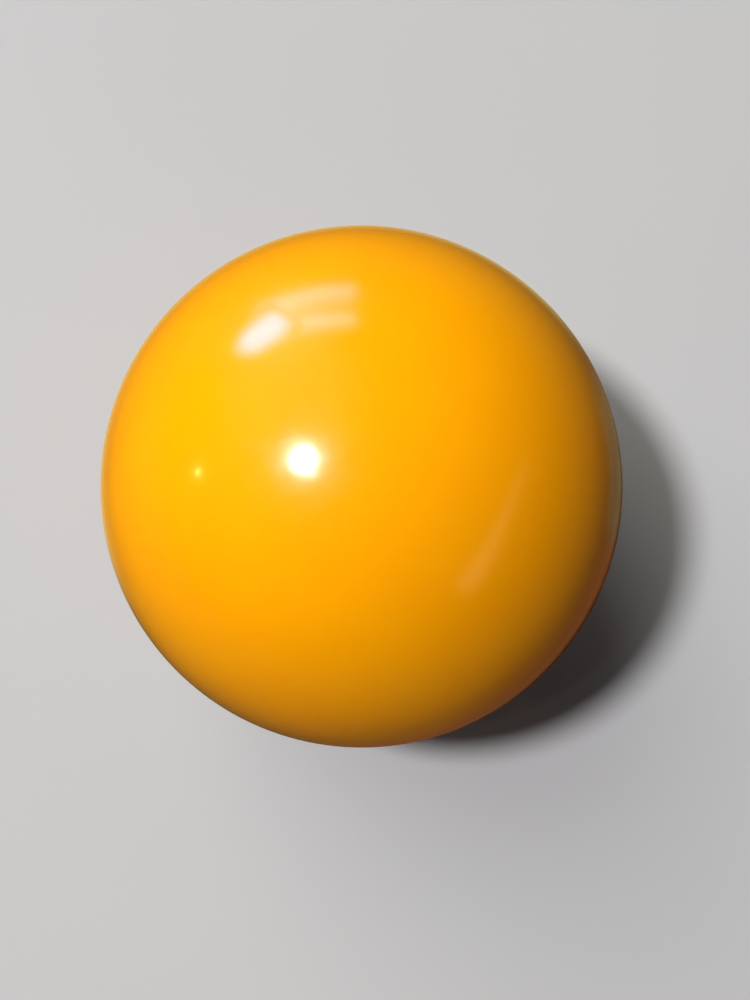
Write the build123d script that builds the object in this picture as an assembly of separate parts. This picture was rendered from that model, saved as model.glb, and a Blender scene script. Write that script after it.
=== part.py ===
from build123d import *
import math
import os

# Inflatable stage ball for juggling: a thick-walled hollow ball of soft PVC with a
# valve moulded into its wall and a small pin plug that closes the valve flush with
# the surface.
#
# Row frame, millimetres: origin at the ball's centre, +Z up, the valve on the +Y
# axis with its mouth facing +Y. Nearly everything is turned about Y, so outlines are
# drawn as (radius, height along Y). The exceptions are the lifting notch beside the
# plug and the flattened lips of the valve's core.

# ---- driving dimensions ----
BALL_D = 70.0            # outside diameter
WALL = 6.0               # wall of the ball, which gives its 100 g
BOSS_R = 8.0             # thick patch inside the wall that carries the valve
BOSS_END_Y = 23.5        # inner face of that patch
BOSS_ROOT_FILLET = 2.0   # blend from the patch into the wall
BOSS_RIM_FILLET = 1.2

RECESS_R = 4.35          # seat sunk in the surface for the plug's head
RECESS_LIP = 0.3         # rounding of the seat's rim
SEAT_Y = 33.45           # floor of the seat, which is the valve body's flange
NOTCH_BALL_R = 2.0       # scallop in the seat's rim, to lift the plug out
NOTCH_DEPTH = 0.8
NOTCH_AT_R = 4.9         # distance of the scallop's middle from the valve axis

FLANGE_R = 6.0           # valve body: anchor flange under the ball's skin
FLANGE_T = 1.6
BARREL_R = 4.0           # valve body: barrel through the wall and the patch
RIB_R = 5.2              # valve body: anchor rib in the middle of the barrel
RIB_Y = (27.6, 28.8)
BARREL_END_Y = 22.0
MOUTH_R = 1.5            # needle and plug bore
MOUTH_CHAMFER = 0.45
POCKET_R = 2.8           # pocket for the self-closing core
POCKET_TOP_Y = 27.0
SNAP_R = 2.45            # ring inside the pocket that holds the core
SNAP_Y = (24.3, 25.1)

CORE_CLEAR = 0.02        # drawn gap round the core, which is a push fit
CORE_LIP_R = 2.6
DUCKBILL_Y = 19.6        # tip of the core's flattened lips
DUCKBILL_TOP_Y = 22.4
LIP_W, LIP_T = 3.4, 1.3  # lips at the tip: width and thickness
SLIT_W, SLIT_T = 2.2, 0.12
FUNNEL_R, FUNNEL_DEPTH = 1.05, 1.6
CHANNEL_R = 0.45         # needle channel through the core

HEAD_R = 4.0             # plug: domed head
HEAD_UNDER_Y = 33.5
STEM_R = 1.42            # plug: stem, 0.08 mm clear of its bore all round
BEAD_R = 1.47            # plug: two soft sealing beads, 0.03 mm clear
BEAD_YS = (31.9, 29.7)
STEM_TIP_Y = 27.6

R = BALL_D / 2
INNER_R = R - WALL


def lathe(points):
    """A solid of revolution about Y from straight runs between (radius, height) points."""
    return revolve(make_face(Polyline(*points, close=True)), Axis.Y)


def bar(radius, y0, y1):
    """A plain cylinder about Y from y0 to y1."""
    return lathe([(0, y0), (radius, y0), (radius, y1), (0, y1)])


def sphere_y(r, radius=R):
    """Height along Y of the ball's surface at distance r from the valve axis."""
    return math.sqrt(radius * radius - r * r)


def one(shape):
    """The single solid of a shape that must be one piece."""
    solids = shape.solids()
    assert len(solids) == 1, f"expected one solid, got {len(solids)}"
    return solids[0]


# ---- ball shell: hollow sphere, patch inside, pocket for the valve body ----
def ball_shell():
    hollow = Sphere(R) - Sphere(INNER_R)
    patch = bar(BOSS_R, BOSS_END_Y, sphere_y(BOSS_R, INNER_R) + 2.0)
    rim = patch.edges().filter_by(GeomType.CIRCLE).sort_by(Axis.Y)[0]
    patch = fillet(rim, BOSS_RIM_FILLET)
    body = hollow + patch
    root_y = sphere_y(BOSS_R, INNER_R)
    root = [
        e
        for e in body.edges().filter_by(GeomType.CIRCLE)
        if abs(e.radius - BOSS_R) < 1e-3 and abs(e.center().Y - root_y) < 0.05
    ]
    body = fillet(root, BOSS_ROOT_FILLET)
    # seat for the plug's head, then the space the moulded-in valve body fills
    body -= bar(RECESS_R, SEAT_Y, R + 1.0)
    lip = [
        e
        for e in body.edges().filter_by(GeomType.CIRCLE)
        if abs(e.radius - RECESS_R) < 1e-3 and abs(e.center().Y - sphere_y(RECESS_R)) < 0.01
    ]
    body = fillet(lip, RECESS_LIP)
    body -= valve_envelope()
    # scallop in the seat's rim, towards +Z
    tilt = math.asin(NOTCH_AT_R / R)
    away = R - NOTCH_DEPTH + NOTCH_BALL_R
    centre = Vector(0, away * math.cos(tilt), away * math.sin(tilt))
    body -= Pos(centre) * Sphere(NOTCH_BALL_R)
    return one(body)


def valve_envelope():
    """Outside of the valve body, without its bore, run on through the patch's inner face."""
    rib0, rib1 = RIB_Y
    return lathe(
        [
            (0, BARREL_END_Y),
            (BARREL_R, BARREL_END_Y),
            (BARREL_R, rib0),
            (RIB_R, rib0),
            (RIB_R, rib1),
            (BARREL_R, rib1),
            (BARREL_R, SEAT_Y - FLANGE_T),
            (FLANGE_R, SEAT_Y - FLANGE_T),
            (FLANGE_R, SEAT_Y),
            (0, SEAT_Y),
        ]
    )


# ---- valve body: flanged insert the ball is moulded round ----
def valve_body():
    body = valve_envelope()
    end = body.edges().filter_by(GeomType.CIRCLE).sort_by(Axis.Y)[0]
    body = fillet(end, 0.4)
    snap0, snap1 = SNAP_Y
    bore = lathe(
        [
            (0, BARREL_END_Y - 1),
            (POCKET_R + 0.3 + 1.0, BARREL_END_Y - 1),
            (POCKET_R, BARREL_END_Y + 0.3),
            (POCKET_R, snap0 - 0.25),
            (SNAP_R, snap0),
            (SNAP_R, snap1),
            (POCKET_R, snap1 + 0.25),
            (POCKET_R, POCKET_TOP_Y),
            (MOUTH_R, POCKET_TOP_Y),
            (MOUTH_R, SEAT_Y - MOUTH_CHAMFER),
            (MOUTH_R + MOUTH_CHAMFER + 1.0, SEAT_Y + 1.0),
            (0, SEAT_Y + 1.0),
        ]
    )
    return one(body - bore)


# ---- valve core: soft duckbill that the needle opens and the pressure closes ----
def valve_core():
    snap0, snap1 = SNAP_Y
    r, c = POCKET_R - CORE_CLEAR, CORE_CLEAR
    trunk = lathe(
        [
            (0, DUCKBILL_TOP_Y),
            (CORE_LIP_R, DUCKBILL_TOP_Y),
            (r, DUCKBILL_TOP_Y + 0.3),
            (r, snap0 - 0.25 - c),
            (SNAP_R - c, snap0 - c),
            (SNAP_R - c, snap1 + c),
            (r, snap1 + 0.25 + c),
            (r, POCKET_TOP_Y - c),
            (0, POCKET_TOP_Y - c),
        ]
    )
    # lips: from a round root to a flat tip
    root = Plane((0, DUCKBILL_TOP_Y, 0), x_dir=(1, 0, 0), z_dir=(0, -1, 0))
    tip = Plane((0, DUCKBILL_Y, 0), x_dir=(1, 0, 0), z_dir=(0, -1, 0))
    bill = loft(
        [
            root * RectangleRounded(4.6, 4.0, 1.6),
            tip * RectangleRounded(LIP_W, LIP_T, 0.5),
        ]
    )
    core = trunk + bill
    core -= lathe(
        [
            (0, POCKET_TOP_Y + 0.1),
            (FUNNEL_R, POCKET_TOP_Y + 0.1),
            (FUNNEL_R, POCKET_TOP_Y - c),
            (CHANNEL_R, POCKET_TOP_Y - FUNNEL_DEPTH),
            (CHANNEL_R, DUCKBILL_Y + 1.0),
            (0, DUCKBILL_Y + 1.0),
        ]
    )
    core -= Pos(0, DUCKBILL_Y + 0.6, 0) * Box(SLIT_W, 1.4, SLIT_T)
    return one(core)


# ---- closing plug: domed head that finishes the ball's surface, stem with two beads ----
def closing_plug():
    # The dome is the ball's own sphere, cut out of it by the head's cylinder.
    head = Sphere(R) & bar(HEAD_R, HEAD_UNDER_Y, R + 1.0)
    rim = head.edges().filter_by(GeomType.CIRCLE).sort_by(Axis.Y)[-1]
    head = fillet(rim, 0.22)
    under = head.edges().filter_by(GeomType.CIRCLE).sort_by(Axis.Y)[0]
    head = chamfer(under, 0.15)
    stem = bar(STEM_R, STEM_TIP_Y, HEAD_UNDER_Y + 0.3)
    tip = stem.edges().filter_by(GeomType.CIRCLE).sort_by(Axis.Y)[0]
    stem = fillet(tip, 0.8)
    plug = head + stem
    for y in BEAD_YS:
        plug += lathe(
            [
                (0, y - 0.45),
                (STEM_R - 0.02, y - 0.45),
                (BEAD_R, y - 0.12),
                (BEAD_R, y + 0.12),
                (STEM_R - 0.02, y + 0.45),
                (0, y + 0.45),
            ]
        )
    return one(plug)


def main():
    os.makedirs("parts", exist_ok=True)
    for name, make in {
        "ball_shell": ball_shell,
        "valve_body": valve_body,
        "valve_core": valve_core,
        "closing_plug": closing_plug,
    }.items():
        solid = make()
        solid.label = name
        export_step(solid, f"parts/{name}.step")
        box = solid.bounding_box()
        print(name, round(solid.volume, 2), "mm3", box.min, box.max)


main()
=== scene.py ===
import math

import bpy
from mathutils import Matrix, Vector


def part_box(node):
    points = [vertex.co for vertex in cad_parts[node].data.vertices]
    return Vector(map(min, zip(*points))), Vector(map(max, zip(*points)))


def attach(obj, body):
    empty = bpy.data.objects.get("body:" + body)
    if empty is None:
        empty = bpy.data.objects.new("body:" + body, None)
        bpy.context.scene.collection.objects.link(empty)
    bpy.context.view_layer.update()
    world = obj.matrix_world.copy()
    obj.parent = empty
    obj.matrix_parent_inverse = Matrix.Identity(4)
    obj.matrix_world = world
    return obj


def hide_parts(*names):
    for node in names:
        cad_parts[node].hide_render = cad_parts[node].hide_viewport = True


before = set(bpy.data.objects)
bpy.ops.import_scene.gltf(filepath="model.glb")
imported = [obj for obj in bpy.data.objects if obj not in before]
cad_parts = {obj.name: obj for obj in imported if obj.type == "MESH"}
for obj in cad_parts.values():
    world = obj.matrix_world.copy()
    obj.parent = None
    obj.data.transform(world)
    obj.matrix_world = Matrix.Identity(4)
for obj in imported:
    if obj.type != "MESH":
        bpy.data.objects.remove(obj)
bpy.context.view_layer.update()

MM = 0.001

# The object: a hollow ball of glossy soft plastic. The valve is on the +Y axis, its mouth facing
# +Y, and a small domed plug closes it. Outlines below are (radius, height along Y) in millimetres,
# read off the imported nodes' boxes where they give the size.
shell_low, shell_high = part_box("ball_shell")
R = (shell_high.z - shell_low.z) / 2 / MM          # 35.0
WALL = 6.0
INNER_R = R - WALL
BODY_LOW, BODY_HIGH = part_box("valve_body")
SEAT_Y = BODY_HIGH.y / MM                          # 33.45
BARREL_END_Y = BODY_LOW.y / MM                     # 22.0
FLANGE_R = round(BODY_HIGH.x / MM, 2)              # 6.0
CORE_LOW, CORE_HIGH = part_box("valve_core")
PLUG_LOW, PLUG_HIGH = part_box("closing_plug")
RECESS_R, LIP = 4.35, 0.3
HEAD_R, STEM_R, BEAD_R = 4.0, 1.42, 1.47
BARREL_R, RIB_R = 4.0, 5.2
BOSS_R, BOSS_END_Y = 8.0, 23.5


# ---------------------------------------------------------------- outlines

def arc(cx, cy, radius, a0, a1, steps):
    """Points on a circle from angle a0 to a1, in degrees, ends included."""
    return [
        (cx + radius * math.cos(math.radians(a0 + (a1 - a0) * i / steps)),
         cy + radius * math.sin(math.radians(a0 + (a1 - a0) * i / steps)))
        for i in range(steps + 1)
    ]


def rounded(corners, closed, longest=0.5, steps=5):
    """An outline from (radius, height, rounding) corners: each rounding becomes an arc and each
    long straight run is divided, with a support row close to both of its ends."""
    n = len(corners)
    parts = []
    for i, (r, y, f) in enumerate(corners):
        ends = not closed and i in (0, n - 1)
        if f <= 0 or ends:
            parts.append([(r, y)])
            continue
        p0 = Vector(corners[i - 1][:2])
        p1 = Vector((r, y))
        p2 = Vector(corners[(i + 1) % n][:2])
        a, b = (p0 - p1).normalized(), (p2 - p1).normalized()
        half = a.angle(b) / 2
        cut = min(f / math.tan(half), (p0 - p1).length * 0.48, (p2 - p1).length * 0.48)
        radius = cut * math.tan(half)
        centre = p1 + (a + b).normalized() * (radius / math.sin(half))
        s, e = p1 + a * cut - centre, p1 + b * cut - centre
        turn = math.atan2(s.x * e.y - s.y * e.x, s.dot(e))
        parts.append([
            (centre.x + s.x * math.cos(turn * k / steps) - s.y * math.sin(turn * k / steps),
             centre.y + s.x * math.sin(turn * k / steps) + s.y * math.cos(turn * k / steps))
            for k in range(steps + 1)
        ])
    out = []
    for i, part in enumerate(parts):
        out += part
        if i == n - 1 and not closed:
            break
        a, b = Vector(part[-1]), Vector(parts[(i + 1) % n][0])
        run = (b - a).length
        if run < 0.08:
            continue
        near = min(0.05, run * 0.2)
        cuts = [near / run]
        count = max(1, math.ceil((run - 2 * near) / longest))
        cuts += [(near + (run - 2 * near) * k / count) / run for k in range(1, count)]
        cuts += [1 - near / run]
        out += [tuple(a.lerp(b, t)) for t in cuts]
    return out


# ---------------------------------------------------------------- meshes

def skin(name, rings, loop=False):
    """A closed mesh from rings of points in millimetres. A ring of one point is a pole.
    loop joins the last ring to the first, as on a tube turned round an axis."""
    verts, starts = [], []
    for ring in rings:
        starts.append(len(verts))
        verts += [tuple(c * MM for c in p) for p in ring]
    faces = []
    pairs = list(zip(range(len(rings)), range(1, len(rings))))
    if loop:
        pairs.append((len(rings) - 1, 0))
    for i, j in pairs:
        a, b, na, nb = starts[i], starts[j], len(rings[i]), len(rings[j])
        n = max(na, nb)
        for k in range(n):
            m = (k + 1) % n
            if na == 1:
                faces.append((a, b + m, b + k))
            elif nb == 1:
                faces.append((a + k, a + m, b))
            else:
                faces.append((a + k, a + m, b + m, b + k))
    mesh = bpy.data.meshes.new(name)
    mesh.from_pydata(verts, [], faces)
    mesh.validate()
    import bmesh
    bm = bmesh.new()
    bm.from_mesh(mesh)
    bmesh.ops.recalc_face_normals(bm, faces=bm.faces)
    bm.to_mesh(mesh)
    bm.free()
    mesh.shade_smooth()
    piece = bpy.data.objects.new(name, mesh)
    bpy.context.scene.collection.objects.link(piece)
    return piece


def turned(outline, count):
    """Rings round the Y axis, one for each (radius, height)."""
    rings = []
    for r, y in outline:
        if r < 1e-6:
            rings.append([(0.0, y, 0.0)])
        else:
            rings.append([
                (r * math.cos(2 * math.pi * k / count), y, r * math.sin(2 * math.pi * k / count))
                for k in range(count)
            ])
    return rings


# ---- the ball's skin

COLUMNS = 256
SEAM_AT = (0.10, 0.20, 0.34)         # extra columns beside the parting line, in mm from it


def shell_angles(r):
    """Angles of a ring's points. Beside the parting line, which lies in the plane z = 0, three
    close columns on each side keep the same distance from it on every ring."""
    step = 2 * math.pi / COLUMNS
    near = [min(w / max(r, 1e-6), step * f) for w, f in zip(SEAM_AT, (0.25, 0.5, 0.75))]
    angles = []
    for k in range(COLUMNS):
        a = k * step
        if k in (0, COLUMNS // 2):
            angles += [a - w for w in reversed(near)] + [a] + [a + w for w in near]
        else:
            angles.append(a)
    return angles


NOTCH_BALL_R, NOTCH_DEPTH, NOTCH_AT_R = 2.0, 0.8, 4.9
tilt = math.asin(NOTCH_AT_R / R)
NOTCH_Y = (R - NOTCH_DEPTH + NOTCH_BALL_R) * math.cos(tilt)
NOTCH_Z = (R - NOTCH_DEPTH + NOTCH_BALL_R) * math.sin(tilt)


def notch_floor(x, z):
    """Height of the lifting notch's scooped floor over a point, or None beside it."""
    d = x * x + (z - NOTCH_Z) ** 2
    return NOTCH_Y - math.sqrt(NOTCH_BALL_R ** 2 - d) if d < NOTCH_BALL_R ** 2 else None


def softly_least(a, b, k=0.14):
    h = max(k - abs(a - b), 0) / k
    return min(a, b) - h * h * k / 4


def seam_height(z, y):
    """The parting line's ridge, polished down until it barely shows."""
    fade = 1.0 if y < R - 2.0 else max(0.0, (R - 0.9 - y) / 1.1)
    return 0.018 * math.exp(-(z / 0.13) ** 2) * fade


def shell_rings():
    wall_top = math.sqrt((R - LIP) ** 2 - (RECESS_R + LIP) ** 2)
    mouth = math.degrees(math.acos(wall_top / (R - LIP)))      # half angle of the seat's rim
    polar = [0.0, 0.35, 0.8] + [1.25 * i for i in range(1, 134)]
    polar = [t for t in polar if t < 180 - mouth - 5.5]
    t, last = polar[-1], 180 - mouth - 0.12
    while t + 0.3 < last:                                      # rows close up towards the seat
        left = last - t
        t += min(1.25, 0.16 + 0.16 * left)
        polar.append(min(t, last))
    polar.append(180 - mouth)
    rings = []
    for t in polar:
        a = math.radians(t)
        r, y = R * math.sin(a), -R * math.cos(a)
        if r < 1e-6:
            rings.append([(0.0, y, 0.0)])
            continue
        ring = []
        for phi in shell_angles(r):
            x, z = r * math.cos(phi), r * math.sin(phi)
            grow = 1 + seam_height(z, y) / R
            px, py, pz = x * grow, y * grow, z * grow
            if py > 33:
                floor = notch_floor(px, pz)
                if floor is not None:
                    py = softly_least(py, floor)
            ring.append((px, py, pz))
        rings.append(ring)
    # the seat's rounded rim and its wall
    for r, y in arc(RECESS_R + LIP, wall_top, LIP, 90 - mouth, 180, 9)[1:]:
        ring = []
        for phi in shell_angles(r):
            x, z = r * math.cos(phi), r * math.sin(phi)
            floor = notch_floor(x, z)
            ring.append((x, y if floor is None else softly_least(y, floor), z))
        rings.append(ring)
    tops = [p[1] for p in rings[-1]]
    for down in (0.07, 0.3, 0.6, 0.85, 0.96):
        rings.append([
            (RECESS_R * math.cos(phi), top + (SEAT_Y - top) * down, RECESS_R * math.sin(phi))
            for phi, top in zip(shell_angles(RECESS_R), tops)
        ])
    # the pocket that the valve body fills, the patch that carries it, and the hollow
    root_y = math.sqrt((INNER_R - 2.0) ** 2 - (BOSS_R + 2.0) ** 2)
    start = math.degrees(math.acos(root_y / (INNER_R - 2.0)))
    inside = rounded([
        (RECESS_R, SEAT_Y, 0), (FLANGE_R, SEAT_Y, 0.08), (FLANGE_R, SEAT_Y - 1.6, 0.08),
        (BARREL_R, SEAT_Y - 1.6, 0.08), (BARREL_R, 28.8, 0.08), (RIB_R, 28.8, 0.08),
        (RIB_R, 27.6, 0.08), (BARREL_R, 27.6, 0.08), (BARREL_R, BOSS_END_Y, 0.15),
        (BOSS_R, BOSS_END_Y, 1.2), (BOSS_R, root_y, 0),
    ], closed=False, longest=1.2, steps=3)
    inside += arc(BOSS_R + 2.0, root_y, 2.0, 180, 90 - start, 6)[1:]
    for r, y in inside:
        rings.append([(r * math.cos(p), y, r * math.sin(p)) for p in shell_angles(r)])
    hollow = [start + 2.5 * k for k in range(1, 70) if start + 2.5 * k < 176]
    for t in hollow:
        a = math.radians(t)
        r, y = INNER_R * math.sin(a), INNER_R * math.cos(a)
        rings.append([(r * math.cos(p), y, r * math.sin(p)) for p in shell_angles(r)])
    rings.append([(0.0, -INNER_R, 0.0)])
    return rings


shell = skin("ball_shell_skin", shell_rings())


# ---- the valve's body, a moulded insert

body_outline = rounded([
    (1.5, 27.0, 0.06), (1.5, SEAT_Y - 0.45, 0.12), (1.95, SEAT_Y, 0.12),
    (2.55, SEAT_Y, 0.05), (2.62, SEAT_Y - 0.07, 0.03), (2.92, SEAT_Y - 0.07, 0.03), (2.99, SEAT_Y, 0.05),
    (FLANGE_R, SEAT_Y, 0.1), (FLANGE_R, SEAT_Y - 1.6, 0.1),
    (BARREL_R, SEAT_Y - 1.6, 0.1), (BARREL_R, 28.8, 0.1), (RIB_R, 28.8, 0.1), (RIB_R, 27.6, 0.1),
    (BARREL_R, 27.6, 0.1), (BARREL_R, BARREL_END_Y, 0.4), (3.1, BARREL_END_Y, 0.08),
    (2.8, BARREL_END_Y + 0.3, 0.1), (2.8, 24.05, 0.08), (2.45, 24.3, 0.08), (2.45, 25.1, 0.08),
    (2.8, 25.35, 0.08), (2.8, 27.0, 0.08),
], closed=True, longest=0.8, steps=4)
valve_body = skin("valve_body_moulding", turned(body_outline, 128), loop=True)


# ---- the valve's core: a round trunk that flattens into two lips with a slit between them

def core_rings():
    count = 96
    top, tip = CORE_HIGH.y / MM, CORE_LOW.y / MM

    def circle(r, y):
        return [(r * math.cos(2 * math.pi * k / count), y, r * math.sin(2 * math.pi * k / count)) for k in range(count)]

    def oval(half_x, half_z, power, y):
        """A rounded rectangle: power 2 is an ellipse, and higher powers square its corners."""
        ring = []
        for k in range(count):
            a = 2 * math.pi * k / count
            c, s = math.cos(a), math.sin(a)
            ring.append((half_x * math.copysign(abs(c) ** (2 / power), c), y,
                         half_z * math.copysign(abs(s) ** (2 / power), s)))
        return ring

    rings = [circle(r, y) for r, y in rounded([
        (1.05, top, 0.08), (2.78, top, 0.12), (2.78, 25.37, 0.08), (2.43, 25.12, 0.08), (2.43, 24.28, 0.08),
        (2.78, 24.03, 0.08), (2.78, 22.7, 0.1), (2.6, 22.4, 0.06), (2.42, 22.4, 0),
    ], closed=False, longest=0.6, steps=3)]
    for i in range(1, 15):                     # the bill narrows in z and keeps its width in x
        t = i / 14
        ease = t * t * (3 - 2 * t)
        rings.append(oval(2.3 + (1.7 - 2.3) * ease, 2.0 + (0.65 - 2.0) * (0.25 * t + 0.75 * ease),
                          2.6 + 1.2 * t, 22.3 + (tip + 0.16 - 22.3) * t))
    rings += [oval(1.66, 0.60, 3.8, tip + 0.06), oval(1.58, 0.52, 3.8, tip + 0.01), oval(1.45, 0.40, 3.6, tip),
              oval(1.12, 0.075, 4.0, tip), oval(1.1, 0.06, 4.0, tip + 0.03), oval(1.1, 0.06, 4.0, 20.7)]
    for i in range(1, 6):                      # the slit opens into the needle's channel
        t = i / 5
        rings.append(oval(1.1 + (0.45 - 1.1) * t, 0.06 + (0.45 - 0.06) * t, 4.0 - 2.0 * t, 20.7 + 0.6 * t))
    rings += [circle(r, y) for r, y in rounded([
        (0.45, 21.6, 0), (0.45, 25.4, 0.3), (1.02, top - 0.06, 0),
    ], closed=False, longest=0.8, steps=3)]
    return rings


valve_core = skin("valve_core_rubber", core_rings(), loop=True)


# ---- the closing plug

def plug_outline():
    tip = PLUG_LOW.y / MM
    dome_end = 3.72
    top = [(0.0, R - 0.16)]
    top += [(r, math.sqrt(R * R - r * r) - 0.16 * (1 - min(1, max(0, (r - 0.28) / 0.34)) ** 2 * (3 - 2 * min(1, max(0, (r - 0.28) / 0.34)))))
            for r in (0.1, 0.2, 0.28, 0.34, 0.4, 0.46, 0.52, 0.58, 0.64, 0.72, 0.85, 1.0, 1.25, 1.5, 1.8, 2.1, 2.4, 2.7, 3.0, 3.25, 3.45, 3.6)]
    y = math.sqrt(R * R - dome_end ** 2)
    bead = 0.42
    lower = rounded([
        (dome_end, y, 0), (HEAD_R, math.sqrt(R * R - HEAD_R ** 2), 0.24), (HEAD_R, 33.5, 0.15), (2.5, 33.5, 0),
        (STEM_R, 33.5, 0.12),
        (STEM_R, 31.9 + bead, 0.1), (BEAD_R, 31.9 + 0.16, 0.12), (BEAD_R, 31.9 - 0.16, 0.12), (STEM_R, 31.9 - bead, 0.1),
        (STEM_R, 29.7 + bead, 0.1), (BEAD_R, 29.7 + 0.16, 0.12), (BEAD_R, 29.7 - 0.16, 0.12), (STEM_R, 29.7 - bead, 0.1),
        (STEM_R, tip, 0.8), (0.0, tip, 0),
    ], closed=False, longest=0.4, steps=6)
    return top + lower


plug = skin("closing_plug_moulding", turned(plug_outline(), 160))


# ---------------------------------------------------------------- materials

def tree_of(name):
    mat = bpy.data.materials.new(name)
    mat.use_nodes = True
    tree = mat.node_tree
    tree.nodes.clear()
    out = tree.nodes.new("ShaderNodeOutputMaterial")
    shader = tree.nodes.new("ShaderNodeBsdfPrincipled")
    tree.links.new(shader.outputs["BSDF"], out.inputs["Surface"])
    return mat, tree, shader


def node(tree, kind, **inputs):
    n = tree.nodes.new(kind)
    for key, value in inputs.items():
        n.inputs[key.replace("_", " ")].default_value = value
    return n


def place(tree, scale=(1, 1, 1), turn=(0, 0, 0)):
    """The object's own coordinates, in metres, stretched and turned."""
    coords = tree.nodes.new("ShaderNodeTexCoord")
    mapping = tree.nodes.new("ShaderNodeMapping")
    mapping.inputs["Scale"].default_value = scale
    mapping.inputs["Rotation"].default_value = [math.radians(a) for a in turn]
    tree.links.new(coords.outputs["Object"], mapping.inputs["Vector"])
    return mapping.outputs["Vector"]


def noise(tree, vector, scale, detail=3.0, roughness=0.5, distortion=0.0):
    n = node(tree, "ShaderNodeTexNoise", Scale=scale, Detail=detail, Roughness=roughness, Distortion=distortion)
    tree.links.new(vector, n.inputs["Vector"])
    return n.outputs["Fac"]


def ramp(tree, value, low, high, to_low=0.0, to_high=1.0, smooth=True):
    n = tree.nodes.new("ShaderNodeMapRange")
    n.interpolation_type = "SMOOTHSTEP" if smooth else "LINEAR"
    n.inputs["From Min"].default_value = low
    n.inputs["From Max"].default_value = high
    n.inputs["To Min"].default_value = to_low
    n.inputs["To Max"].default_value = to_high
    tree.links.new(value, n.inputs["Value"])
    return n.outputs["Result"]


def calc(tree, op, a, b=None):
    n = tree.nodes.new("ShaderNodeMath")
    n.operation = op
    for i, v in enumerate((a, b)):
        if v is None:
            continue
        if isinstance(v, (int, float)):
            n.inputs[i].default_value = v
        else:
            tree.links.new(v, n.inputs[i])
    return n.outputs[0]


def blend_colour(tree, factor, a, b):
    n = tree.nodes.new("ShaderNodeMix")
    n.data_type = "RGBA"
    n.clamp_factor = True
    if isinstance(factor, (int, float)):
        n.inputs["Factor"].default_value = factor
    else:
        tree.links.new(factor, n.inputs["Factor"])
    for sock, v in (("A", a), ("B", b)):
        s = [i for i in n.inputs if i.name == sock and i.type == "RGBA"][0]
        if isinstance(v, tuple):
            s.default_value = (*v, 1)
        else:
            tree.links.new(v, s)
    return [o for o in n.outputs if o.type == "RGBA"][0]


def bump(tree, height, distance, strength=1.0, before=None):
    n = tree.nodes.new("ShaderNodeBump")
    n.inputs["Strength"].default_value = strength
    n.inputs["Distance"].default_value = distance
    tree.links.new(height, n.inputs["Height"])
    if before is not None:
        tree.links.new(before, n.inputs["Normal"])
    return n.outputs["Normal"]


def fine_scratches(tree, turn, sharp, seed):
    """Short hairlines along one direction: noise stretched 60 to 1 and cut to its thin crests."""
    vector = place(tree, (55, 2600, 2600), turn)
    shift = tree.nodes.new("ShaderNodeVectorMath")
    shift.operation = "ADD"
    shift.inputs[1].default_value = (seed, seed * 1.7, seed * 0.3)
    tree.links.new(vector, shift.inputs[0])
    crest = noise(tree, shift.outputs[0], 1.0, 1.0, 0.4)
    return ramp(tree, crest, sharp, sharp + 0.06)


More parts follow.
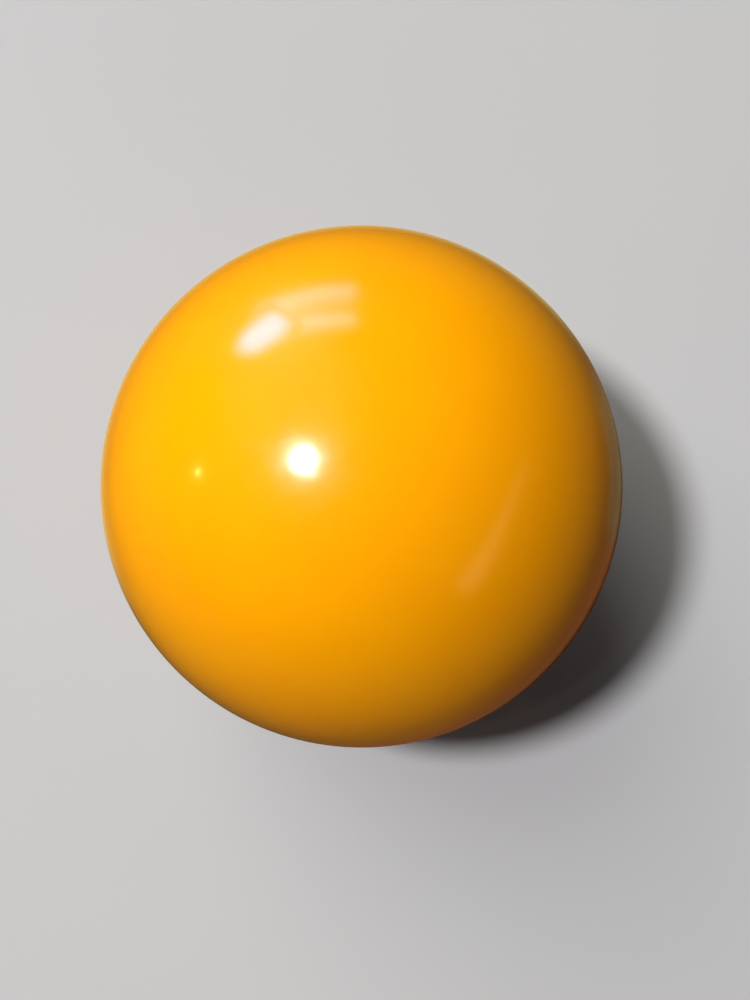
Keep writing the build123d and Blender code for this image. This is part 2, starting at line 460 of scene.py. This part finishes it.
def shell_material():
    mat, tree, shader = tree_of("shell_pvc_glossy")
    here = place(tree)
    # colour: dyed through, with the faintest cloudiness, and cooler where the skin is thin of dye
    cloud = noise(tree, here, 60, 3, 0.5, 0.4)
    speck = noise(tree, here, 2100, 2, 0.5)
    warm = blend_colour(tree, ramp(tree, cloud, 0.3, 0.7), (0.955, 0.356, 0.0006), (0.965, 0.374, 0.0010))
    colour = blend_colour(tree, ramp(tree, speck, 0.66, 0.76, 0.0, 0.10), warm, (0.80, 0.27, 0.001))
    # the polished parting line
    axis = tree.nodes.new("ShaderNodeSeparateXYZ")
    tree.links.new(place(tree), axis.inputs["Vector"])
    off_plane = calc(tree, "ABSOLUTE", axis.outputs["Z"])
    seam = ramp(tree, off_plane, 0.0003, 0.0011, 1.0, 0.0)
    # handling: soft smudges and hairlines
    smudge = ramp(tree, noise(tree, here, 95, 4, 0.55, 0.8), 0.46, 0.68)
    lines = calc(tree, "MAXIMUM", fine_scratches(tree, (0, 20, 35), 0.70, 3.0),
                 calc(tree, "MAXIMUM", fine_scratches(tree, (50, -30, -65), 0.71, 11.0),
                      fine_scratches(tree, (-75, 15, 110), 0.72, 23.0)))
    worn = calc(tree, "MULTIPLY", lines, ramp(tree, noise(tree, here, 40, 2), 0.42, 0.62))
    rough = calc(tree, "ADD", ramp(tree, noise(tree, here, 420, 3), 0.3, 0.7, 0.155, 0.18),
                 calc(tree, "MULTIPLY", smudge, 0.05))
    rough = calc(tree, "ADD", rough, calc(tree, "MULTIPLY", seam, 0.05))
    rough = calc(tree, "ADD", rough, calc(tree, "MULTIPLY", worn, 0.05))
    # shape of the gloss: a slow swell from the mould, a fine peel, hairlines, the seam's polish marks
    swell = bump(tree, noise(tree, here, 130, 2, 0.4), 0.00003, 0.55)
    peel = bump(tree, noise(tree, here, 900, 2, 0.5), 0.0000035, 0.6, swell)
    hair = bump(tree, worn, 0.000002, 0.3, peel)
    polish = noise(tree, place(tree, (160, 160, 9000)), 1.0, 2, 0.6)
    done = bump(tree, calc(tree, "MULTIPLY", polish, seam), 0.000004, 0.7, hair)
    tree.links.new(colour, shader.inputs["Base Color"])
    tree.links.new(rough, shader.inputs["Roughness"])
    tree.links.new(done, shader.inputs["Normal"])
    tree.links.new(done, shader.inputs["Coat Normal"])
    shader.inputs["IOR"].default_value = 1.5
    shader.inputs["Specular IOR Level"].default_value = 0.34
    shader.inputs["Coat Weight"].default_value = 0.45
    shader.inputs["Coat Roughness"].default_value = 0.10
    shader.inputs["Coat IOR"].default_value = 1.5
    shader.inputs["Subsurface Weight"].default_value = 0.12
    shader.inputs["Subsurface Radius"].default_value = (1.0, 0.38, 0.06)
    shader.inputs["Subsurface Scale"].default_value = 0.0016
    return mat


def plug_material():
    mat, tree, shader = tree_of("plug_pvc_satin")
    here = place(tree)
    cloud = noise(tree, here, 260, 3)
    colour = blend_colour(tree, ramp(tree, cloud, 0.3, 0.7), (0.90, 0.305, 0.0045), (0.94, 0.335, 0.006))
    rough = ramp(tree, noise(tree, here, 1500, 3), 0.3, 0.7, 0.34, 0.44)
    grain = bump(tree, noise(tree, here, 5200, 3, 0.6), 0.000006, 0.5)
    done = bump(tree, noise(tree, here, 700, 2), 0.00001, 0.4, grain)
    tree.links.new(colour, shader.inputs["Base Color"])
    tree.links.new(rough, shader.inputs["Roughness"])
    tree.links.new(done, shader.inputs["Normal"])
    tree.links.new(done, shader.inputs["Coat Normal"])
    shader.inputs["Coat Weight"].default_value = 0.35
    shader.inputs["Coat Roughness"].default_value = 0.22
    shader.inputs["Subsurface Weight"].default_value = 0.15
    shader.inputs["Subsurface Radius"].default_value = (1.0, 0.38, 0.06)
    shader.inputs["Subsurface Scale"].default_value = 0.0012
    return mat


def valve_material():
    mat, tree, shader = tree_of("valve_pvc_milky")
    here = place(tree)
    cloud = noise(tree, here, 420, 3)
    colour = blend_colour(tree, ramp(tree, cloud, 0.3, 0.7), (0.72, 0.64, 0.47), (0.79, 0.73, 0.58))
    # darker and mottled beyond 4.4 mm from the axis, on the flange and the rib that sit inside the shell's pocket
    axis = tree.nodes.new("ShaderNodeSeparateXYZ")
    tree.links.new(place(tree), axis.inputs["Vector"])
    out = calc(tree, "SQRT", calc(tree, "ADD", calc(tree, "MULTIPLY", axis.outputs["X"], axis.outputs["X"]),
                                  calc(tree, "MULTIPLY", axis.outputs["Z"], axis.outputs["Z"])))
    edge = ramp(tree, out, 0.0036, 0.0044, 0.0, 0.45)
    outer_darkening = calc(tree, "MULTIPLY", edge, ramp(tree, noise(tree, here, 900, 4, 0.6), 0.35, 0.65))
    colour = blend_colour(tree, outer_darkening, colour, (0.36, 0.29, 0.19))
    rough = ramp(tree, noise(tree, here, 1800, 3), 0.3, 0.7, 0.38, 0.5)
    turning = bump(tree, noise(tree, here, 2600, 3), 0.000008, 0.5)
    tree.links.new(colour, shader.inputs["Base Color"])
    tree.links.new(rough, shader.inputs["Roughness"])
    tree.links.new(turning, shader.inputs["Normal"])
    shader.inputs["Subsurface Weight"].default_value = 0.3
    shader.inputs["Subsurface Radius"].default_value = (1.0, 0.8, 0.5)
    shader.inputs["Subsurface Scale"].default_value = 0.0012
    return mat


def rubber_material():
    mat, tree, shader = tree_of("core_rubber_black")
    here = place(tree)
    bloom = ramp(tree, noise(tree, here, 700, 4, 0.6), 0.45, 0.75, 0.0, 0.5)
    colour = blend_colour(tree, bloom, (0.022, 0.021, 0.020), (0.06, 0.057, 0.052))
    rough = ramp(tree, noise(tree, here, 2400, 3), 0.3, 0.7, 0.55, 0.72)
    grain = bump(tree, noise(tree, here, 6000, 3), 0.00001, 0.5)
    tree.links.new(colour, shader.inputs["Base Color"])
    tree.links.new(rough, shader.inputs["Roughness"])
    tree.links.new(grain, shader.inputs["Normal"])
    return mat


for piece, material, body, cad, slot in (
    (shell, shell_material(), "ball", "ball_shell", "shell_pvc"),
    (valve_body, valve_material(), "ball", "valve_body", "valve_pvc"),
    (valve_core, rubber_material(), "ball", "valve_core", "core_rubber"),
    (plug, plug_material(), "plug", "closing_plug", "plug_pvc"),
):
    piece.data.materials.append(material)
    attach(piece, body)
    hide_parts(cad)


# ---------------------------------------------------------------- stage, light and camera

def matte(name, colour, rough=0.8):
    mat, tree, shader = tree_of(name)
    tint = noise(tree, place(tree), 9, 3)
    shade = blend_colour(tree, ramp(tree, tint, 0.3, 0.7), tuple(c * 0.985 for c in colour), tuple(c * 1.015 for c in colour))
    tree.links.new(shade, shader.inputs["Base Color"])
    shader.inputs["Roughness"].default_value = rough
    shader.inputs["Specular IOR Level"].default_value = 0.2
    return mat


FLOOR_Z = shell_low.z
floor_mesh = bpy.data.meshes.new("floor")
floor_mesh.from_pydata([(-6, -6, FLOOR_Z), (6, -6, FLOOR_Z), (6, 6, FLOOR_Z), (-6, 6, FLOOR_Z)], [], [(0, 1, 2, 3)])
floor = bpy.data.objects.new("floor", floor_mesh)
bpy.context.scene.collection.objects.link(floor)
floor.data.materials.append(matte("floor_pale_grey", (0.42, 0.415, 0.42)))
floor_tree = floor.data.materials[0].node_tree
seen = floor_tree.nodes["Principled BSDF"]
seen.inputs["Emission Color"].default_value = (0.2, 0.7, 1.0, 1)       # a faint bluish glow painted into the floor, to cancel the warm tint of the ball's shadow on it
# What the floor gives back to the ball is as dark as the cloth such a ball is shot on: seen
# directly it is pale, and its bounce and its reflection stay quiet. Its reflection has painted light in
# it: a painted warm reflection where the ball's own shadow falls, a painted lighter strip on the right, and
# a painted pale ring just outside the ball on the lit side.
path = floor_tree.nodes.new("ShaderNodeLightPath")
spot = floor_tree.nodes.new("ShaderNodeSeparateXYZ")
floor_tree.links.new(place(floor_tree), spot.inputs["Vector"])


def quiet(colour):
    n = floor_tree.nodes.new("ShaderNodeBsdfDiffuse")
    if isinstance(colour, tuple):
        n.inputs["Color"].default_value = (*colour, 1)
    else:
        floor_tree.links.new(colour, n.inputs["Color"])
    return n.outputs[0]


def choose(factor, no, yes):
    n = floor_tree.nodes.new("ShaderNodeMixShader")
    floor_tree.links.new(factor, n.inputs["Fac"])
    floor_tree.links.new(no, n.inputs[1])
    floor_tree.links.new(yes, n.inputs[2])
    return n.outputs[0]


def between(value, low0, low1, high0, high1):
    return calc(floor_tree, "MULTIPLY", ramp(floor_tree, value, low0, low1),
                ramp(floor_tree, value, high0, high1, 1.0, 0.0))


off_x = calc(floor_tree, "SUBTRACT", spot.outputs["X"], 0.030)
off_y = calc(floor_tree, "ADD", spot.outputs["Y"], 0.012)
from_shadow = calc(floor_tree, "SQRT", calc(floor_tree, "ADD", calc(floor_tree, "MULTIPLY", off_x, off_x),
                                            calc(floor_tree, "MULTIPLY", off_y, off_y)))
# the ball's shadow on the floor, where a warm reflection is painted
shaded = ramp(floor_tree, from_shadow, 0.040, 0.058, 1.0, 0.0)
# a strip on the right where a lit floor is painted into the reflection
painted_lit_strip = calc(floor_tree, "MULTIPLY", between(spot.outputs["X"], 0.044, 0.056, 0.082, 0.090),
                between(spot.outputs["Y"], -0.012, -0.002, 0.024, 0.046))
from_ball = calc(floor_tree, "SQRT", calc(floor_tree, "ADD",
                 calc(floor_tree, "MULTIPLY", spot.outputs["X"], spot.outputs["X"]),
                 calc(floor_tree, "MULTIPLY", spot.outputs["Y"], spot.outputs["Y"])))
# the painted bluish glow is nothing within 12 mm of the ball and full beyond 36 mm
floor_tree.links.new(ramp(floor_tree, from_ball, 0.012, 0.036, 0.0, 0.016), seen.inputs["Emission Strength"])
# the colours the ball sees in the floor: dark, with a painted warm reflection in its shadow and a painted lit strip
painted_reflection = blend_colour(floor_tree, shaded, (0.060, 0.052, 0.022), (0.20, 0.080, 0.030))
painted_reflection = blend_colour(floor_tree, painted_lit_strip, painted_reflection, (0.155, 0.130, 0.065))
off_y = calc(floor_tree, "SUBTRACT", spot.outputs["Y"], 0.0075)
from_ring = calc(floor_tree, "SQRT", calc(floor_tree, "ADD",
                 calc(floor_tree, "MULTIPLY", spot.outputs["X"], spot.outputs["X"]), calc(floor_tree, "MULTIPLY", off_y, off_y)))
upper_left = ramp(floor_tree, calc(floor_tree, "ADD", calc(floor_tree, "MULTIPLY", spot.outputs["X"], -0.50),
                                   calc(floor_tree, "MULTIPLY", spot.outputs["Y"], 0.87)), 0.002, 0.026)
# a ring just outside the ball on the upper left, painted pale in the reflection
edge = calc(floor_tree, "MULTIPLY", between(from_ring, 0.040, 0.041, 0.044, 0.074), upper_left)
painted_reflection = blend_colour(floor_tree, edge, painted_reflection, (0.50, 0.43, 0.16))
given_back = choose(path.outputs["Is Glossy Ray"], quiet((0.17, 0.105, 0.065)), quiet(painted_reflection))
# Away from the ball the floor runs into the pale room, so that no horizon shows.
PALE = (0.58, 0.58, 0.59)
haze = floor_tree.nodes.new("ShaderNodeEmission")
haze.inputs["Color"].default_value = (*PALE, 1)
floor_tree.links.new(choose(path.outputs["Is Camera Ray"], given_back,
                            choose(ramp(floor_tree, from_ball, 0.12, 0.75), seen.outputs[0], haze.outputs[0])),
                     floor_tree.nodes["Material Output"].inputs["Surface"])


def lamp(name, place_at, aim, size, radiance, colour=(1, 1, 1), shape="DISK"):
    """A soft lamp of a stated radiance: its power follows from its area."""
    data = bpy.data.lights.new(name, "AREA")
    data.shape = shape
    data.size = size
    area = math.pi * size * size / 4 if shape == "DISK" else size * size
    data.energy = radiance * math.pi * area
    data.color = colour
    obj = bpy.data.objects.new(name, data)
    obj.location = place_at
    obj.rotation_mode = "QUATERNION"
    obj.rotation_quaternion = (Vector(aim) - Vector(place_at)).to_track_quat("-Z", "Y")
    obj.visible_camera = False
    bpy.context.scene.collection.objects.link(obj)
    return obj


def panel(name, pairs, radiance, colour, glow):
    """A softbox of any outline: a strip through pairs of points, one on each long side. glow(s, t)
    gives its brightness s of the way along it and t of the way across, so that it can fade out."""
    across, along = 14, 6
    verts, levels, faces = [], [], []
    stations = len(pairs) // 2
    rows = (stations - 1) * along + 1
    for i in range(rows):
        k = min(i // along, stations - 2)
        f = (i - k * along) / along
        a = Vector(pairs[2 * k]).lerp(Vector(pairs[2 * k + 2]), f)
        b = Vector(pairs[2 * k + 1]).lerp(Vector(pairs[2 * k + 3]), f)
        for j in range(across + 1):
            verts.append(a.lerp(b, j / across))
            levels.append(radiance * glow(i / (rows - 1), j / across))
    for i in range(rows - 1):
        for j in range(across):
            at = i * (across + 1) + j
            faces.append((at, at + 1, at + across + 2, at + across + 1))
    mesh = bpy.data.meshes.new(name)
    mesh.from_pydata(verts, [], faces)
    mesh.attributes.new("glow", "FLOAT", "POINT").data.foreach_set("value", levels)
    mat = bpy.data.materials.new(name)
    mat.use_nodes = True
    tree = mat.node_tree
    tree.nodes.clear()
    out = tree.nodes.new("ShaderNodeOutputMaterial")
    light = tree.nodes.new("ShaderNodeEmission")
    light.inputs["Color"].default_value = (*colour, 1)
    level = tree.nodes.new("ShaderNodeAttribute")
    level.attribute_name = "glow"
    tree.links.new(level.outputs["Fac"], light.inputs["Strength"])
    tree.links.new(light.outputs[0], out.inputs["Surface"])
    mesh.materials.append(mat)
    obj = bpy.data.objects.new(name, mesh)
    obj.visible_camera = False
    obj.visible_diffuse = False
    obj.visible_shadow = False
    bpy.context.scene.collection.objects.link(obj)
    return obj


def fade(x, start, end):
    """0 at start, 1 at end, smooth between."""
    t = min(1.0, max(0.0, (x - start) / (end - start)))
    return t * t * (3 - 2 * t)


def hump(x, middle, width):
    return math.exp(-((x - middle) / width) ** 2)


# The key: a round lamp high on the left, with a small one at its edge. Two broad lamps beside it
# soften it and leave no mirror image.
KEY = Vector((-0.402, 0.025, 0.915)).normalized()
lamp("key_lamp", KEY * 2.0 + Vector((0.0136, 0.0010, 0.0429)), (0, 0, 0), 0.264, 244.0, (1.0, 1.0, 1.02))
lamp("key_tail", (-0.672, -0.169, 1.912), (0, 0, 0), 0.036, 150.0)
for name, towards, size, radiance, colour in (
    ("sky_soft", (-0.47, 0.50, 0.73), 2.2, 2.90, (1.0, 1.0, 0.88)),
    ("window_soft", (-0.46, 0.85, 0.26), 1.9, 1.6, (0.90, 1.0, 0.97)),
):
    soft = lamp(name, Vector(towards).normalized() * 2.5, (0, 0, 0), size, radiance, colour)
    soft.visible_glossy = False

# The window: a bright slanted patch and two bars beside it, all with soft edges.
panel("window_patch", [
    (-0.766, 0.796, 0.204), (-0.780, 0.713, 0.390), (-0.681, 0.882, 0.137), (-0.646, 0.750, 0.540),
    (-0.588, 0.951, 0.092), (-0.493, 0.836, 0.575), (-0.498, 1.001, 0.087), (-0.359, 0.945, 0.498),
], 16.6, (0.47, 0.42, 1.0),
    lambda s, t: fade(s, 0.0, 0.36) * fade(s, 1.0, 0.80) * fade(t, 0.04, 0.46) * fade(t, 0.96, 0.62))
panel("window_bars", [
    (-0.595, 1.014, -0.021), (-0.670, 0.900, 0.390),
    (-0.520, 1.048, -0.010), (-0.590, 0.898, 0.479), (-0.445, 1.082, 0.001), (-0.510, 0.896, 0.568),
    (-0.361, 1.113, 0.017), (-0.419, 0.920, 0.604), (-0.275, 1.138, 0.028), (-0.318, 0.949, 0.621),
    (-0.189, 1.155, 0.047), (-0.216, 0.965, 0.640), (-0.101, 1.165, 0.061), (-0.113, 0.974, 0.654),
    (-0.012, 1.169, 0.071), (-0.002, 0.981, 0.653),
], 1.04, (0.55, 0.55, 1.0),
    lambda s, t: fade(s, 1.0, 0.90) * fade(s, 0.0, 0.05) * (
        4.3 * hump(t, 0.30, 0.15) + (11.7 - 7.5 * s) * hump(t, 0.79, 0.12)
        + (4.1 - 4.2 * s) * hump(t, 0.52, 0.17) + 9.0 * hump(s, 0.11, 0.16) * hump(t, 0.62, 0.27)))
panel("side_strip", [
    (1.081, 0.193, 0.258), (1.043, 0.180, 0.391), (1.085, 0.055, 0.307), (1.022, 0.030, 0.485),
    (1.054, -0.153, 0.378), (0.969, -0.191, 0.556), (0.999, -0.361, 0.394), (0.881, -0.411, 0.584),
    (0.934, -0.530, 0.363), (0.782, -0.576, 0.592), (0.864, -0.662, 0.323), (0.712, -0.670, 0.581),
    (0.801, -0.781, 0.287), (0.649, -0.755, 0.571), (0.733, -0.884, 0.252), (0.583, -0.836, 0.553),
], 1.5, (1.0, 0.86, 0.35),
    lambda s, t: (0.30 + 0.78 * s) * fade(s, 0.0, 0.17) * fade(s, 1.0, 0.76) * fade(t, 0.0, 0.5) * fade(t, 1.0, 0.5))
lamp("far_lamp", (-1.339, 0.037, 0.492), (0, 0, 0), 0.045, 70.0, (1.0, 0.9, 0.2))

world = bpy.data.worlds.new("room")
bpy.context.scene.world = world
world.use_nodes = True
wt = world.node_tree
wt.nodes.clear()
w_out = wt.nodes.new("ShaderNodeOutputWorld")
w_path = wt.nodes.new("ShaderNodeLightPath")


def room(strength, colour=(1, 1, 1)):
    n = wt.nodes.new("ShaderNodeBackground")
    n.inputs["Color"].default_value = (*colour, 1)
    n.inputs["Strength"].default_value = strength
    return n.outputs[0]


def either_of(tree, factor, no, yes):
    n = tree.nodes.new("ShaderNodeMixShader")
    tree.links.new(factor, n.inputs["Fac"])
    tree.links.new(no, n.inputs[1])
    tree.links.new(yes, n.inputs[2])
    return n.outputs[0]


# The room is dark in reflections and a little lighter as fill, and pale where the camera sees it.
unseen = either_of(wt, w_path.outputs["Is Glossy Ray"], room(0.042, (1.0, 0.48, 0.25)), room(0.004))
wt.links.new(either_of(wt, w_path.outputs["Is Camera Ray"], unseen, room(1.0, PALE)),
             w_out.inputs["Surface"])

ELEVATION = math.radians(80.5)
DISTANCE = 5 * R * MM
back = Vector((0, -math.cos(ELEVATION), math.sin(ELEVATION)))
up = Vector((0, math.sin(ELEVATION), math.cos(ELEVATION)))
camera_data = bpy.data.cameras.new("camera")
camera_data.sensor_width = 36
camera_data.lens = 36 * 1.279
camera_data.clip_start = 0.005
camera_data.clip_end = 50
camera = bpy.data.objects.new("camera", camera_data)
camera.location = DISTANCE * back + 0.01016 * DISTANCE * Vector((1, 0, 0)) - 0.01016 * DISTANCE * up
camera.rotation_mode = "QUATERNION"
camera.rotation_quaternion = (-back).to_track_quat("-Z", "Y")
bpy.context.scene.collection.objects.link(camera)
bpy.context.scene.camera = camera

bpy.context.scene.view_settings.view_transform = "Standard"
bpy.context.scene.view_settings.look = "None"
bpy.context.scene.cycles.use_denoising = True
